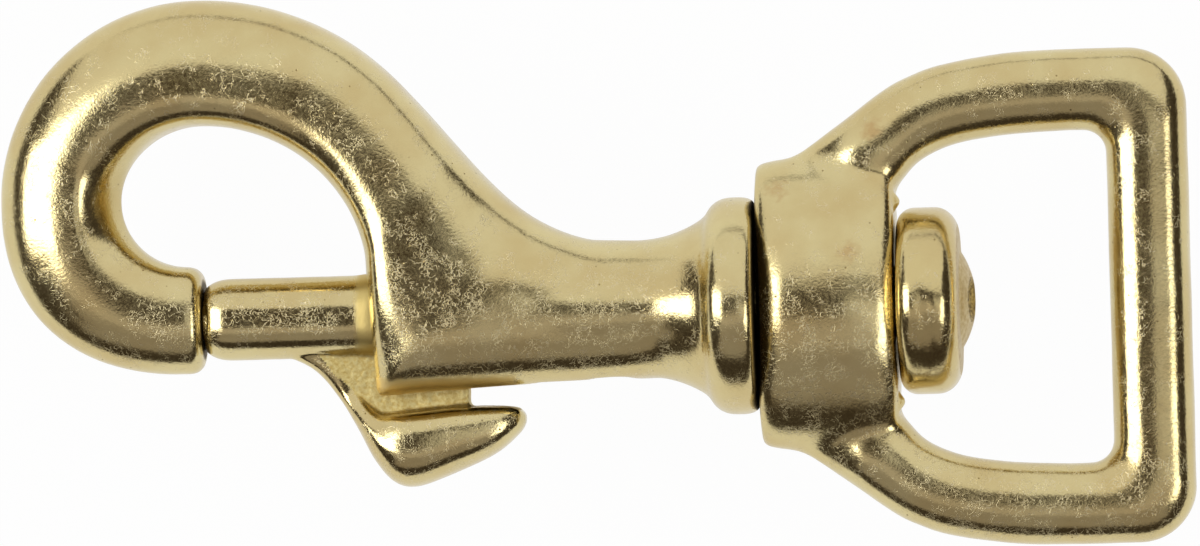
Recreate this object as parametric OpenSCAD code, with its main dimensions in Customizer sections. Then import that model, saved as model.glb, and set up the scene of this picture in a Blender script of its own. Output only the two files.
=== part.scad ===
// Bolt snap: a cast brass hook with a sprung sliding bolt and a swivelling strap eye.
// The swivel axis lies along X, from the hook (-X) to the eye (+X). The hook's spine is on +Y and
// the thumb lug on -Y. The origin is on the axis, on the strap bar's inner face, where the strap pulls.

/* [Hook] */
// Gap between the hook's nose and the barrel's mouth, along the bolt
throat = 10.9; // [9:0.1:14]
// Depth of the bowl behind the nose
bowl_depth = 5; // [3:0.1:8]
// Height of the bowl's roof above the bolt's axis
bowl_height = 12.15; // [10:0.05:16]
// Height of the bowl's widest place above the bolt's axis
bowl_middle = 7.45; // [6:0.05:9]
// Width of the hook at its nose
nose_w = 6.7; // [5.5:0.1:8]
// Width of the hook at its back
back_w = 7.6; // [5:0.1:10]
// Width of the hook at its crown
crown_w = 7.85; // [5:0.05:10]
// Thickness of the nose
nose_t = 5.6; // [4:0.1:7]
// Thickness of the hook at its back
back_t = 6.4; // [4:0.1:8]
// Thickness of the hook at its crown
crown_t = 7; // [5:0.1:8.5]
// Radius of the spine above the arm
spine_r = 17.2; // [15:0.1:20]
// Radius of the edge round the nose's end
nose_round = 0.9; // [0.3:0.1:1.5]

/* [Barrel] */
// Length of the barrel from its mouth to the collar's rear face, along the axis
barrel_l = 23.7; // [22:0.1:30]
// Diameter of the barrel
barrel_d = 9.6; // [9:0.1:11]
// Diameter of the neck in front of the collar
neck_d = 8.5; // [7.8:0.1:9]
// Slope of the mouth's face, its lower edge set back
mouth_slope = 13; // [0:1:18]
// Radius of the mouth's outer rim
mouth_round = 1; // [0.3:0.1:1.4]

/* [Collar] */
// Diameter of the collar
collar_d = 13.5; // [12:0.1:16]
// Thickness of the collar, which is the wall that the rivet passes through
collar_t = 3.25; // [2.5:0.05:5]
// Radius of the collar's edges
collar_round = 0.7; // [0.3:0.1:1]

/* [Bolt] */
// Diameter of the bolt where it slides in the barrel
bolt_d = 5.3; // [4.6:0.1:6]
// Diameter of the bolt across the throat
nose_d = 5.1; // [4:0.1:5.3]
// Gap between the bolt's end and the hook's nose when shut
nose_gap = 0.3; // [0.2:0.05:0.8]
// Length of the bolt that stays in the barrel when shut
bolt_hold = 5.6; // [4:0.1:7]
// How far the bolt slides back
travel = 9.8; // [7:0.1:10.5]
// Radius of the edge round the bolt's end
bolt_round = 1; // [0.3:0.1:1.8]
// Running clearance between the bolt and its bore, on the radius
bolt_clear = 0.1; // [0.05:0.01:0.2]

/* [Thumb lug] */
// Thickness of the web between the bolt and the lug
web_t = 1.8; // [1.2:0.1:2.4]
// Thickness of the rib along the web's front edge
rib_t = 2.6; // [2.2:0.1:3.4]
// Greatest thickness of the lug
lug_t = 6; // [4:0.1:8]
// Depth of the lug's lower corner below the axis
lug_depth = 10.7; // [10:0.1:13]
// Gap between the barrel and the lug's upper face
lug_gap = 1; // [0.6:0.1:2]
// Clearance each side of the rib in the barrel's slot
slot_clear = 0.25; // [0.2:0.05:0.5]

/* [Spring] */
// Diameter of the spring's wire
wire_d = 0.5; // [0.3:0.05:0.6]
// Outer diameter of the spring
spring_d = 4.5; // [3.5:0.1:4.8]
// Number of open coils
open_coils = 5; // [3:1:6]
// Gap between the spring and its seats
spring_gap = 0.05; // [0.02:0.01:0.1]

/* [Swivel rivet] */
// Diameter of the rivet's shank
shank_d = 4.2; // [3:0.1:4.6]
// Diameter of the rivet's head
head_d = 11.6; // [9:0.1:13]
// Thickness of the head's disc
head_t = 3.5; // [3:0.1:4.5]
// Radius of the disc's edges
head_round = 1.3; // [0.5:0.1:1.6]
// Diameter of the dome on the head
dome_d = 7.3; // [5:0.1:8]
// Height of the dome above the disc
dome_h = 1.3; // [0.8:0.1:2]
// Diameter of the punched dimple
dimple_d = 3.1; // [2:0.1:4]
// Depth of the punched dimple
dimple_h = 0.6; // [0.3:0.1:0.8]
// Height of the dimple's centre above the axis, towards +Z
dimple_rise = 0.7; // [0:0.1:1]
// Diameter of the flared tail in the barrel's bore
tail_d = 5; // [4.7:0.05:5.2]
// Thickness of the flared tail
tail_t = 1.2; // [0.8:0.1:2]
// Clearance between the shank and the collar's hole, on the radius
press_clear = 0.02; // [0.01:0.01:0.05]
// Running clearance between the shank and the eye's bore, on the radius
swivel_clear = 0.1; // [0.05:0.01:0.2]
// Play at each end of the boss
end_play = 0.1; // [0.05:0.05:0.3]

/* [Swivel eye] */
// Width of the slot between the side bars, a little over the strap's 20 mm
slot_w = 20.6; // [16:0.1:26]
// Length from the boss's rear face to the strap bar's inner face
slot_l = 13.2; // [11:0.1:20]
// Width of the side bars and the strap bar
bar_w = 5.05; // [4:0.05:6.5]
// Thickness of the side bars and the strap bar
bar_t = 4.8; // [3.5:0.1:6]
// Radius of the strap bar's outer corners
outer_corner = 2.7; // [1.5:0.1:4]
// Radius of the strap bar's inner corners
inner_corner = 1.4; // [0.8:0.1:2]
// Length of the boss along the axis
boss_l = 8.6; // [7:0.1:11]
// Width of the boss from top to bottom
boss_w = 18.2; // [17:0.1:21]
// Thickness of the boss
boss_t = 10; // [8:0.1:12]
// Radius of the boss's rims
boss_round = 0.8; // [0.3:0.1:1.5]

/* [Hidden] */
brass = "#c3b07d";
steel = "#b9bcc0";
// Sides of a smooth section, segments of a long bend, segments of a rounded edge, turned smoothness
sides = 36;
bend_steps = 14;
edge_steps = 4;
turned = 96;
// Overlap that joins or cuts cleanly
overlap = 1;

// Places along the swivel axis, from the strap bar forward
boss_rear_x = -slot_l;
boss_front_x = boss_rear_x - boss_l;
seat_x = boss_front_x - end_play;
collar_front_x = seat_x - collar_t;
mouth_x = seat_x - barrel_l;
nose_x = mouth_x - throat;
bolt_nose_x = nose_x + nose_gap;
bolt_rear_x = mouth_x + bolt_hold;
head_x = boss_rear_x + end_play;
tail_x = collar_front_x - tail_t;

// Fits
bore_d = bolt_d + 2 * bolt_clear;
lever_slot_w = rib_t + 2 * slot_clear;
slot_end_r = lever_slot_w / 2;
slot_sag = slot_end_r - sqrt(slot_end_r * slot_end_r - web_t * web_t / 4);
lever_slot_end_x = bolt_rear_x + travel + slot_clear + slot_sag;
barrel_r = barrel_d / 2;
neck_r = neck_d / 2;
bolt_r = bolt_d / 2;

// Small helpers: a signed power for squarish ovals, blends, curves and points on an oval
function signed_pow(v, p) = sign(v) * pow(abs(v), p);
function mix(a, b, t) = a + (b - a) * t;
function ease(t) = (1 - cos(180 * t)) / 2;
function bezier(a, b, c, d, t) =
    a * pow(1 - t, 3) + 3 * b * t * pow(1 - t, 2) + 3 * c * t * t * (1 - t) + d * pow(t, 3);
function on_oval(centre, rx, ry, angle, square = 2) =
    centre + [rx * signed_pow(cos(angle), 2 / square), ry * signed_pow(sin(angle), 2 / square)];

// A rung is [inner point, outer point, thickness]: one cross-section of a casting seen from above.
// The section is a squarish oval. Its inner wall is upright where inner_square is large and slopes
// in from the top and from below where it is small.
function section(rung, inner_square, outer_square) = [
    for (i = [0 : sides - 1])
        let (
            angle = 360 * i / sides,
            square = cos(angle) < 0 ? inner_square : outer_square,
            across = signed_pow(cos(angle), 2 / square),
            flat = mix(rung[0], rung[1], (1 + across) / 2)
        )
        [flat.x, flat.y, rung[2] / 2 * signed_pow(sin(angle), 2 / square)]
];
// Smooth curve through a list of rungs, by cubic blends between neighbours
function through(rungs, steps) = [
    for (i = [0 : len(rungs) - 2], k = [0 : steps - 1])
        let (
            t = k / steps,
            a = rungs[max(i - 1, 0)],
            b = rungs[i],
            c = rungs[i + 1],
            d = rungs[min(i + 2, len(rungs) - 1)]
        )
        b + (c - a) * t / 2 + (2 * a - 5 * b + 4 * c - d) * t * t / 2
            + (3 * b - a - 3 * c + d) * pow(t, 3) / 2,
    rungs[len(rungs) - 1]
];

// Solid through a row of closed rings that all have as many points
module loft(rings) {
    count = len(rings[0]);
    last = len(rings) - 1;
    polyhedron(
        points = [for (ring = rings) each ring],
        faces = [
            [for (i = [0 : count - 1]) i],
            [for (i = [count - 1 : -1 : 0]) last * count + i],
            for (k = [0 : last - 1], i = [0 : count - 1])
                let (j = (i + 1) % count)
                each [
                    [k * count + i, (k + 1) * count + i, (k + 1) * count + j],
                    [k * count + i, (k + 1) * count + j, k * count + j]
                ]
        ],
        convexity = 6
    );
}
// Solid turned about the X axis from points [x, radius]
module turned_x(points) {
    rotate([0, 90, 0])
        rotate_extrude($fn = turned)
            polygon([for (p = points) [p.y, p.x]]);
}
// Cylinder along X
module rod_x(from_x, to_x, d) {
    translate([from_x, 0, 0])
        rotate([0, 90, 0])
            cylinder(h = to_x - from_x, d = d, $fn = turned);
}
// Points of a rounded edge: an arc about a centre
function arc(centre, r, from, to, steps = edge_steps) = [
    for (k = [0 : steps])
        let (angle = mix(from, to, k / steps))
        centre + r * [cos(angle), sin(angle)]
];

// Hook: the casting's rungs, from the nose round the bowl and over the crown to the neck, each with the
// squareness of its inner wall as a fourth value
nose_r = nose_w / 2;
bowl_centre = [nose_x, bowl_middle];
lower_centre = bowl_centre - [nose_round, 0];
back_rx = bowl_depth + back_w;
lower_square = 2.2;
// How square the hook's section is: its outer wall, then its inner wall at the nose, back and crown
hook_outer_square = 2.2;
nose_square = 2.2;
back_square = 1.6;
crown_square = 2.9;
function nose_rung(turn) =
    let (
        inset = nose_round * (1 - cos(turn)),
        x = nose_x - nose_round * (1 - sin(turn))
    )
    [[x, nose_r - inset], [x, -nose_r + inset], nose_t - 2 * inset, nose_square];
function lower_rung(t) =
    let (angle = mix(-90, -180, t))
    [
        on_oval(lower_centre, bowl_depth - nose_round, bowl_middle - nose_r, angle),
        on_oval(lower_centre, back_rx - nose_round, bowl_middle + nose_r, angle, lower_square),
        mix(nose_t, back_t, ease(t)),
        mix(nose_square, back_square, ease(t))
    ];
function upper_rung(t) =
    let (angle = mix(180, 90, t), roof = bowl_height - bowl_middle)
    [
        on_oval(bowl_centre, bowl_depth, roof, angle),
        on_oval(bowl_centre, back_rx, roof + crown_w, angle),
        mix(back_t, crown_t, ease(t)),
        mix(back_square, crown_square, ease(t))
    ];
// The arm: an arc over the bowl, then a slope that eases into the neck
arm_end = 43;
throat_end = 9;
throat_overlap = 0.5;
neck_run = 4.2;
// How far the casting's end is sunk in the neck
spine_sunk = 0.15;
neck_sunk = 0.6;
crown_y = bowl_height + crown_w;
arm_t = mix(crown_t, barrel_d, 0.75);
throat_low = bolt_r - throat_overlap;
throat_rx = mouth_x - nose_x - throat_low * tan(mouth_slope);
throat_centre = [nose_x, throat_low];
spine_centre = [nose_x, crown_y - spine_r];
function throat_point(angle) = on_oval(throat_centre, throat_rx, bowl_height - throat_low, angle);
function spine_point(angle) = on_oval(spine_centre, spine_r, spine_r, angle);
function arm_rung(t) =
    let (angle = mix(90, arm_end, t))
    [throat_point(angle), spine_point(angle), mix(crown_t, arm_t, ease(t)), crown_square];
neck_x = collar_front_x - neck_run;
spine_foot = [neck_x, neck_r - spine_sunk];
slope_pull = 0.38;
neck_pull = 0.36;
spine_end = spine_point(arm_end);
slope_way = [sin(arm_end), -cos(arm_end)];
slope_l = norm(spine_foot - spine_end);
// The shoulder's rungs fan round the barrel: their inner ends run down behind the mouth's face and along
// under the barrel, while their outer ends run down the spine to the neck
face_share = 0.3;
mouth_share = 0.65;
shoulder_sunk = 0.4;
shoulder_t = barrel_d - shoulder_sunk;
shoulder_square = 2.2;
mouth_foot_y = shoulder_sunk - barrel_r;
throat_foot = throat_point(throat_end);
mouth_foot = [mouth_x + shoulder_sunk - mouth_foot_y * tan(mouth_slope), mouth_foot_y];
neck_foot = [neck_x, neck_sunk - neck_r];
function shoulder_inside(t) =
    t < face_share ? throat_point(mix(arm_end, throat_end, t / face_share))
    : t < mouth_share ? mix(throat_foot, mouth_foot, (t - face_share) / (mouth_share - face_share))
    : mix(mouth_foot, neck_foot, (t - mouth_share) / (1 - mouth_share));
function shoulder_rung(t) =
    let (swell = ease(min(1, t / face_share)), thin = ease(max(0, t - mouth_share) / (1 - mouth_share)))
    [
        shoulder_inside(t),
        bezier(spine_end, spine_end + slope_way * slope_l * slope_pull,
            spine_foot - [slope_l * neck_pull, 0], spine_foot, t),
        mix(mix(arm_t, shoulder_t, swell), neck_d - 2 * neck_sunk, thin),
        mix(crown_square, shoulder_square, swell)
    ];
hook_rungs = [
    for (k = [0 : edge_steps]) nose_rung(mix(90, 0, k / edge_steps)),
    for (k = [1 : bend_steps]) lower_rung(k / bend_steps),
    for (k = [1 : bend_steps]) upper_rung(k / bend_steps),
    for (k = [1 : bend_steps]) arm_rung(k / bend_steps),
    for (k = [1 : 2 * bend_steps]) shoulder_rung(k / (2 * bend_steps))
];

// Barrel, neck and collar, turned about the bolt's axis
collar_r = collar_d / 2;
flare_r = 7.4;
flare_turn = 34;
flare_end = [collar_front_x, neck_r + flare_r * (1 - cos(flare_turn))];
flare_x = flare_end.x - flare_r * sin(flare_turn);
barrel_front_x = mouth_x - barrel_r * tan(mouth_slope);
barrel_points = [
    [barrel_front_x, 0],
    [barrel_front_x, barrel_r],
    [mix(barrel_front_x, flare_x, 0.5), barrel_r],
    each arc([flare_x, neck_r + flare_r], flare_r, -90, -90 + flare_turn, 2 * edge_steps),
    each arc([collar_front_x + 2 * collar_round, collar_r - collar_round], collar_round, 150, 90),
    each arc([seat_x - collar_round, collar_r - collar_round], collar_round, 90, 0),
    [seat_x, 0]
];

// The sloped mouth with its rounded rim: a drum on the mouth's own axis that opens out behind the rim
mouth_points = [
    [0, 0],
    each arc([mouth_round, barrel_r - mouth_round], mouth_round, 180, 100),
    [mouth_round + barrel_r, barrel_l],
    [barrel_l + collar_d, barrel_l],
    [barrel_l + collar_d, 0]
];
module barrel() {
    intersection() {
        turned_x(barrel_points);
        translate([mouth_x, 0, 0])
            rotate([0, 0, mouth_slope])
                turned_x(mouth_points);
    }
}

module lever_slot() {
    end_x = lever_slot_end_x - slot_end_r;
    translate([barrel_front_x - overlap, -barrel_d, -lever_slot_w / 2])
        cube([end_x - barrel_front_x + overlap, barrel_d, lever_slot_w]);
    translate([end_x, 0, 0])
        rotate([90, 0, 0])
            cylinder(h = barrel_d, d = lever_slot_w, $fn = turned);
}

module hook_body() {
    color(brass)
        difference() {
            union() {
                loft([for (rung = hook_rungs) section(rung, rung[3], hook_outer_square)]);
                barrel();
            }
            rod_x(barrel_front_x - overlap, collar_front_x, bore_d);
            rod_x(collar_front_x - overlap, seat_x + overlap, shank_d + 2 * press_clear);
            lever_slot();
        }
}

// Bolt: the round rod, the web behind the rib, and the rib that runs down into the lug
bolt_nose_r = nose_d / 2;
// The full diameter starts this far in front of the mouth, after a short cone
guide_lead = 1.2;
guide_cone = 1.4;
guide_x = mouth_x - guide_lead;
bolt_points = [
    [bolt_nose_x, 0],
    each arc([bolt_nose_x + bolt_round, bolt_nose_r - bolt_round], bolt_round, 180, 90),
    [guide_x - guide_cone, bolt_nose_r],
    [guide_x, bolt_r],
    [bolt_rear_x, bolt_r],
    [bolt_rear_x, 0]
];
lug_square = 2.4;
lug_top = -barrel_r - lug_gap;
lug_low = -lug_depth;
lug_front_x = mouth_x + 0.6;
lug_end_x = bolt_rear_x + 3.5;
lug_middle_x = mix(lug_front_x, lug_end_x, 0.5);
// How far down the lug, from its top at 0 to its lower corner at 1, and how swollen, from the rib at 0
function lug_down(share) = mix(lug_top, lug_low, share);
function lug_swell(share) = mix(rib_t, lug_t, share);
// The rib's rungs start inside the rod, pass the barrel's slot and run on into the lug
rib_y = -barrel_r - 0.3;
lug_rungs = [
    [[mouth_x - 6.4, -1.8], [mouth_x - 3.4, -1], rib_t],
    [[mouth_x - 4.6, -3.2], [mouth_x - 2.5, -3], rib_t],
    [[mouth_x - 2.9, rib_y], [mouth_x - 1.3, rib_y], rib_t],
    [[lug_front_x - 2, lug_down(0.25)], [lug_front_x - 0.5, lug_top - 0.3], lug_swell(0.5)],
    [[lug_front_x - 1, lug_down(0.65)], [lug_front_x + 0.6, lug_top - 0.3], lug_swell(0.85)],
    [[lug_front_x + 0.2, lug_low + 0.3], [lug_front_x + 1.6, lug_top - 0.2], lug_t],
    [[lug_front_x + 1.7, lug_low], [lug_front_x + 2.8, lug_top - 0.1], lug_t],
    [[lug_middle_x, lug_down(0.82)], [lug_middle_x, lug_top], lug_swell(0.9)],
    [[lug_end_x - 1.9, lug_down(0.6)], [lug_end_x - 1.9, lug_top], lug_swell(0.65)],
    [[lug_end_x - 0.45, lug_down(0.36)], [lug_end_x - 0.5, lug_top - 0.15], lug_swell(0.2)],
    [[lug_end_x, lug_down(0.22)], [lug_end_x, lug_top - 0.6], rib_t / 2]
];
// The web runs from inside the rod down into the lug
web_low = lug_top - 1.2;
web_points = [
    [mouth_x - 4.5, -1],
    [mouth_x - 3.4, -3.2],
    [mouth_x - 2, rib_y],
    [lug_front_x, web_low],
    [bolt_rear_x, web_low],
    [bolt_rear_x, -1]
];

module spring_bolt() {
    color(brass) {
        turned_x(bolt_points);
        translate([0, 0, -web_t / 2])
            linear_extrude(web_t)
                polygon(web_points);
        loft([for (rung = through(lug_rungs, 3)) section(rung, lug_square, lug_square)]);
    }
}

// Spring: closed coils at both ends and open coils between
coil_steps = 20;
closed_coils = 1;
coils = open_coils + 2 * closed_coils;
spring_from_x = bolt_rear_x + spring_gap + wire_d / 2;
spring_to_x = tail_x - spring_gap - wire_d / 2;
coil_r = (spring_d - wire_d) / 2;
open_from_x = spring_from_x + closed_coils * wire_d;
open_to_x = spring_to_x - closed_coils * wire_d;
function spring_x(turns) =
    turns < closed_coils ? spring_from_x + turns * wire_d
    : turns > coils - closed_coils ? spring_to_x - (coils - turns) * wire_d
    : mix(open_from_x, open_to_x, (turns - closed_coils) / open_coils);
wire_sides = 8;
spring_rings = [
    for (k = [0 : coils * coil_steps])
        let (turns = k / coil_steps, angle = 360 * turns)
        [
            for (i = [0 : wire_sides - 1])
                let (around = -360 * i / wire_sides, r = coil_r + wire_d / 2 * cos(around))
                [spring_x(turns) + wire_d / 2 * sin(around), r * cos(angle), r * sin(angle)]
        ]
];

module coil_spring() {
    color(steel) loft(spring_rings);
}

// Rivet: shank, tail in the bore, disc head with a dome, and the punched dimple
head_r = head_d / 2;
dome_r = dome_d / 2;
dome_sphere_r = (dome_r * dome_r + dome_h * dome_h) / (2 * dome_h);
dome_x = head_x + head_t;
dome_turn = asin(dome_r / dome_sphere_r);
dimple_r = dimple_d / 2;
dimple_sphere_r = (dimple_r * dimple_r + dimple_h * dimple_h) / (2 * dimple_h);
dimple_turn = asin(dimple_rise / dome_sphere_r);
rivet_points = [
    [tail_x, 0],
    [tail_x, tail_d / 2],
    [collar_front_x, tail_d / 2],
    [collar_front_x, shank_d / 2],
    [head_x, shank_d / 2],
    each arc([head_x + head_round, head_r - head_round], head_round, 180, 90),
    each arc([dome_x - head_round, head_r - head_round], head_round, 90, 0),
    each arc([dome_x + dome_h - dome_sphere_r, 0], dome_sphere_r, dome_turn, 0, 2 * edge_steps)
];

module swivel_rivet() {
    dome_centre_x = dome_x + dome_h - dome_sphere_r;
    color(brass)
        difference() {
            turned_x(rivet_points);
            translate([dome_centre_x, 0, 0])
                rotate([0, -dimple_turn, 0])
                    translate([dome_sphere_r + dimple_sphere_r - dimple_h, 0, 0])
                        sphere(r = dimple_sphere_r, $fn = turned);
        }
}

// Eye: the bars' rungs for the upper half, from the boss to the middle of the strap bar
slot_r = slot_w / 2;
eye_r = slot_r + bar_w;
boss_r = boss_w / 2;
boss_square = 2.3;
bar_square = 2.4;
inner_corner_centre = [-inner_corner, slot_r - inner_corner];
outer_corner_centre = [bar_w - outer_corner, eye_r - outer_corner];
bar_straight_x = -inner_corner - 1.6;
function corner_rung(angle) = [
    on_oval(inner_corner_centre, inner_corner, inner_corner, angle),
    on_oval(outer_corner_centre, outer_corner, outer_corner, angle),
    bar_t
];
// How far the eye widens from the boss to the side bars, from 0 at the boss to 1 at the bars
function widen(share) = mix(boss_r, eye_r, share);
shoulder_rungs = [
    [[boss_front_x + 0.9, boss_r - 4.5], [boss_front_x + 0.9, widen(0.05)], 0.6 * bar_t],
    [[boss_front_x + 3.5, boss_r - 3.6], [boss_front_x + 3, widen(0.14)], 0.8 * bar_t],
    [[boss_rear_x - 1.2, boss_r - 2.7], [boss_front_x + 5.2, widen(0.32)], bar_t],
    [[boss_rear_x + 0.5, slot_r - 2.9], [boss_front_x + 8, widen(0.64)], bar_t],
    [[boss_rear_x + 1.4, slot_r - 1.8], [boss_front_x + 9.6, widen(0.77)], bar_t],
    [[boss_rear_x + 3.5, slot_r - 0.75], [boss_front_x + 11.6, widen(0.88)], bar_t],
    [[mix(boss_rear_x, 0, 0.5), slot_r - 0.2], [mix(boss_rear_x, 0, 0.52), eye_r - 0.15], bar_t],
    [[bar_straight_x, slot_r], [bar_straight_x, eye_r], bar_t],
    corner_rung(90)
];
upper_rungs = [
    each through(shoulder_rungs, 4),
    for (k = [1 : 2 * edge_steps]) corner_rung(90 - 90 * k / (2 * edge_steps))
];
function mirrored(rung) = [[rung[0].x, -rung[0].y], [rung[1].x, -rung[1].y], rung[2]];
eye_rungs = [
    each upper_rungs,
    for (k = [len(upper_rungs) - 1 : -1 : 0]) mirrored(upper_rungs[k])
];
// Boss: ovals across the axis, drawn in at both rims
function boss_ring(x, inset) = [
    for (i = [0 : sides - 1])
        let (angle = 360 * i / sides)
        [
            x,
            (boss_r - inset) * signed_pow(cos(angle), 2 / boss_square),
            (boss_t / 2 - inset) * signed_pow(sin(angle), 2 / boss_square)
        ]
];
boss_rings = [
    for (k = [edge_steps : -1 : 0])
        let (turn = 90 * k / edge_steps)
        boss_ring(boss_front_x + boss_round * (1 - sin(turn)), boss_round * (1 - cos(turn))),
    for (k = [0 : edge_steps])
        let (turn = 90 * k / edge_steps)
        boss_ring(boss_rear_x - boss_round * (1 - sin(turn)), boss_round * (1 - cos(turn)))
];

module swivel_eye() {
    color(brass)
        difference() {
            union() {
                loft([for (rung = eye_rungs) section(rung, bar_square, bar_square)]);
                loft(boss_rings);
            }
            rod_x(boss_front_x - overlap, boss_rear_x + overlap, shank_d + 2 * swivel_clear);
        }
}

hook_body();
spring_bolt();
coil_spring();
swivel_eye();
swivel_rivet();
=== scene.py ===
import math

import bpy
import bmesh
from mathutils import Matrix, Vector


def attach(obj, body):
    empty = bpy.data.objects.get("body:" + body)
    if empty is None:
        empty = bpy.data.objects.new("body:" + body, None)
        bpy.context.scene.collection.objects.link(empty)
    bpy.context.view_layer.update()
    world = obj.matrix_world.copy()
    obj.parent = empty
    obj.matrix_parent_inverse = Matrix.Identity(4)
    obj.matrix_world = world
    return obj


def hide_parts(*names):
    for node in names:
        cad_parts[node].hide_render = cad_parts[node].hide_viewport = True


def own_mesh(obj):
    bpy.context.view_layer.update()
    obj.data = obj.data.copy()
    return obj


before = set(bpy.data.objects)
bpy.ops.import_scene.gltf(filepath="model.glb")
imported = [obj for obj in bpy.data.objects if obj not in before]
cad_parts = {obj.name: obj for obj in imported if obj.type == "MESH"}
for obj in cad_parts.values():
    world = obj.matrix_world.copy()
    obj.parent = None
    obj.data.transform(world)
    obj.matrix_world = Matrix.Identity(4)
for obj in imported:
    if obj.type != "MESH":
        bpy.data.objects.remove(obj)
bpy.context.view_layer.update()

mm = 0.001
print("frame loaded,", len(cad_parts), "solids")


# small tools for modelling

def deselectAll():
    bpy.ops.object.select_all(action="DESELECT")


def makeActive(piece):
    deselectAll()
    piece.select_set(True)
    bpy.context.view_layer.objects.active = piece


def applyModifier(piece, kind, **settings):
    makeActive(piece)
    modifier = piece.modifiers.new(kind.title(), kind)
    for key, value in settings.items():
        setattr(modifier, key, value)
    bpy.ops.object.modifier_apply(modifier=modifier.name)


def mix(a, b, share):
    return a + (b - a) * share


def clamp(share):
    return min(1, max(0, share))


def ease(share):    # slow start and slow end
    return (1 - math.cos(math.pi * share)) / 2


def signedPower(value, power):
    return math.copysign(abs(value) ** power, value)


def onOval(centre, rx, ry, degrees, square=2):    # above 2, square fills the oval's corners
    turn = math.radians(degrees)
    return (centre[0] + rx * signedPower(math.cos(turn), 2 / square),
            centre[1] + ry * signedPower(math.sin(turn), 2 / square))


def ovalPoints(centre, rx, ry, start, stop, steps=10):
    return [onOval(centre, rx, ry, mix(start, stop, k / steps)) for k in range(steps + 1)]


def finishShell(weld=0.002):    # in edit mode: merge what meets within that many mm, turn every face outwards
    bpy.ops.mesh.select_all(action="SELECT")
    bpy.ops.mesh.remove_doubles(threshold=weld * mm)
    bpy.ops.mesh.normals_make_consistent(inside=False)
    bpy.ops.object.mode_set(mode="OBJECT")


def traceProfile(name, points):    # one vertex, extruded from point to point in the XY plane
    deselectAll()
    bpy.ops.mesh.primitive_plane_add(size=mm)
    piece = bpy.context.object
    piece.name = name
    bpy.ops.object.mode_set(mode="EDIT")
    bpy.ops.mesh.select_mode(type="VERT")
    bpy.ops.mesh.merge(type="CENTER")
    bpy.ops.transform.translate(value=(points[0][0] * mm, points[0][1] * mm, 0))
    for a, b in zip(points, points[1:]):
        step = ((b[0] - a[0]) * mm, (b[1] - a[1]) * mm, 0)
        bpy.ops.mesh.extrude_vertices_move(TRANSFORM_OT_translate={"value": step})
    bpy.ops.mesh.select_all(action="SELECT")
    return piece


def turnOnLathe(name, points, steps=128):    # points are (x, radius) in mm, spun round the swivel axis
    piece = traceProfile(name, points)
    bpy.ops.mesh.spin(steps=steps, angle=2 * math.pi, center=(0, 0, 0), axis=(1, 0, 0))
    finishShell()
    return piece


def loftRings(name, rings):    # a ring of vertices, extruded from station to station
    deselectAll()
    bpy.ops.mesh.primitive_circle_add(vertices=len(rings[0]), radius=mm, fill_type="NOTHING")
    piece = bpy.context.object
    piece.name = name
    bpy.ops.object.mode_set(mode="EDIT")
    bpy.ops.mesh.select_mode(type="VERT")
    bmesh.from_edit_mesh(piece.data).verts.layers.int.new("place")    # which point of its ring a vertex is
    for k, ring in enumerate(rings):
        if k:
            bpy.ops.mesh.extrude_edges_move()
        work = bmesh.from_edit_mesh(piece.data)
        place = work.verts.layers.int["place"]
        picked = [vert for vert in work.verts if vert.select]
        for i, vert in enumerate(picked):
            if not k:
                vert[place] = i
            vert.co = Vector(ring[vert[place]]) * mm
        bmesh.update_edit_mesh(piece.data)
    bpy.ops.mesh.edge_face_add()
    bpy.ops.mesh.select_all(action="DESELECT")
    bpy.ops.mesh.select_non_manifold()
    bpy.ops.mesh.edge_face_add()
    finishShell()
    return piece


# a rung holds its inner and outer point, the thickness, the squareness of both walls and the crest,
# which is how far from the inside the bar is thickest
def crossSection(rung, count=48):
    inner, outer, thick, innerSquare, outerSquare, crest = rung
    points = []
    for i in range(count):
        turn = 2 * math.pi * i / count
        square, reach = (innerSquare, crest) if math.cos(turn) < 0 else (outerSquare, 1 - crest)
        power = 2 / square
        across = crest + reach * signedPower(math.cos(turn), power)
        points.append((mix(inner[0], outer[0], across), mix(inner[1], outer[1], across),
                       thick / 2 * signedPower(math.sin(turn), power)))
    return points


def throughRungs(rungs, steps=6):    # smooth path through listed rungs
    flat = [(*rung[0], *rung[1], *rung[2:]) for rung in rungs]
    path = []
    for i in range(len(flat) - 1):
        a, b = flat[max(i - 1, 0)], flat[i]
        c, d = flat[i + 1], flat[min(i + 2, len(flat) - 1)]
        for k in range(steps):
            t = k / steps
            row = [q + (r - p) * t / 2 + (2 * p - 5 * q + 4 * r - s) * t * t / 2
                   + (3 * q - p - 3 * r + s) * t ** 3 / 2 for p, q, r, s in zip(a, b, c, d)]
            path.append(((row[0], row[1]), (row[2], row[3]), *row[4:]))
    return path + [rungs[-1]]


def addRod(fromX, toX, diameter):    # a cutter along the swivel axis
    deselectAll()
    bpy.ops.mesh.primitive_cylinder_add(vertices=96, radius=diameter / 2 * mm, depth=(toX - fromX) * mm,
                                        location=((fromX + toX) / 2 * mm, 0, 0), rotation=(0, math.pi / 2, 0))
    return bpy.context.object


def cutAway(piece, *cutters):
    for cutter in cutters:
        applyModifier(piece, "BOOLEAN", object=cutter, operation="DIFFERENCE", solver="EXACT")


def discard(*pieces):
    for piece in pieces:
        bpy.data.objects.remove(piece, do_unlink=True)


def castInOne(name, parts, voxel, passes):    # overlapping forms become one skin with soft inner corners
    makeActive(parts[0])
    for part in parts[1:]:
        part.select_set(True)
    bpy.ops.object.join()
    piece = bpy.context.object
    piece.name = name
    piece.data.name = name
    applyModifier(piece, "REMESH", mode="VOXEL", voxel_size=voxel * mm, use_smooth_shade=True)
    applyModifier(piece, "SMOOTH", factor=0.5, iterations=passes)
    return piece


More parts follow.
